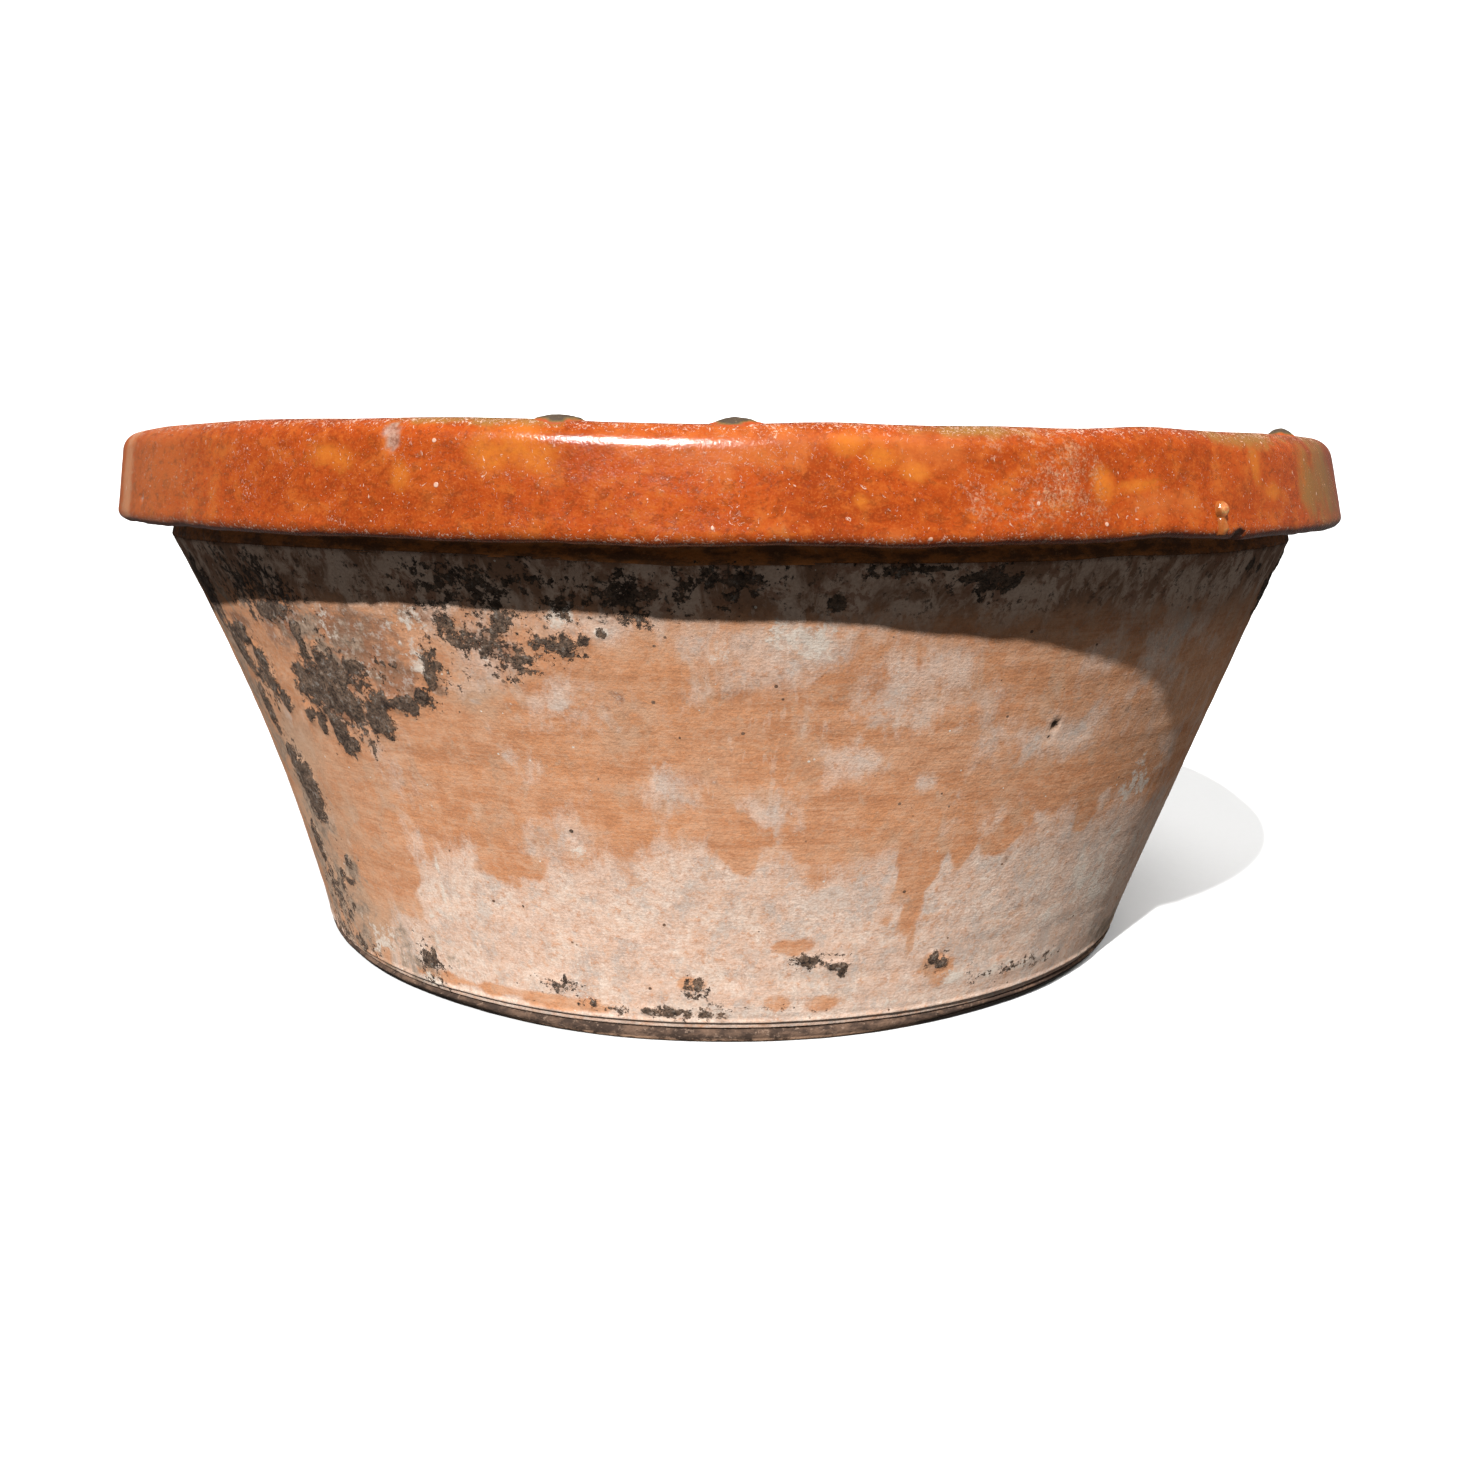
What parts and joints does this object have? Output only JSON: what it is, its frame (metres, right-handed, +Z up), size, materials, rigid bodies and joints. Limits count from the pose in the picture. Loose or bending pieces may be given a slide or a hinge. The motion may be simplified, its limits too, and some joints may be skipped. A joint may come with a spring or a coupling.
{
  "type": "glazed-rim terracotta basin",
  "caption": "Wide shallow terracotta basin with a flaring bare wall, a heavy rolled rim with amber glaze, and a glazed lining.",
  "frame": {"origin": "centre of the foot, on the plane it stands on", "axes": "+Z up along the bowl's axis; -Y towards the side with the two front kiln lumps, with the glaze drip 36 degrees from it towards +X"},
  "size_m": [0.4999, 0.5, 0.2078],
  "materials": {
    "base_clay": "matte, worn, dark at the edge",
    "wall_clay": "matte, weathered, with pale bloom and lichen",
    "neck_slip": "dark brown slip, satin",
    "rim_clay": "matte, hidden under the glaze",
    "rim_glaze": "glossy mottled amber-orange, scratched",
    "inner_glaze": "glossy amber",
    "drip_glaze": "glossy",
    "dark_crust": "dark, rough"
  },
  "bodies": {
    "root": {"base_slab": "base_clay", "wall": "wall_clay", "neck_band": "neck_slip", "rim_roll": "rim_clay", "rim_glaze": "rim_glaze", "inner_glaze": "inner_glaze", "glaze_drip": "drip_glaze", "kiln_lumps": "dark_crust"}
  },
  "joints": []
}
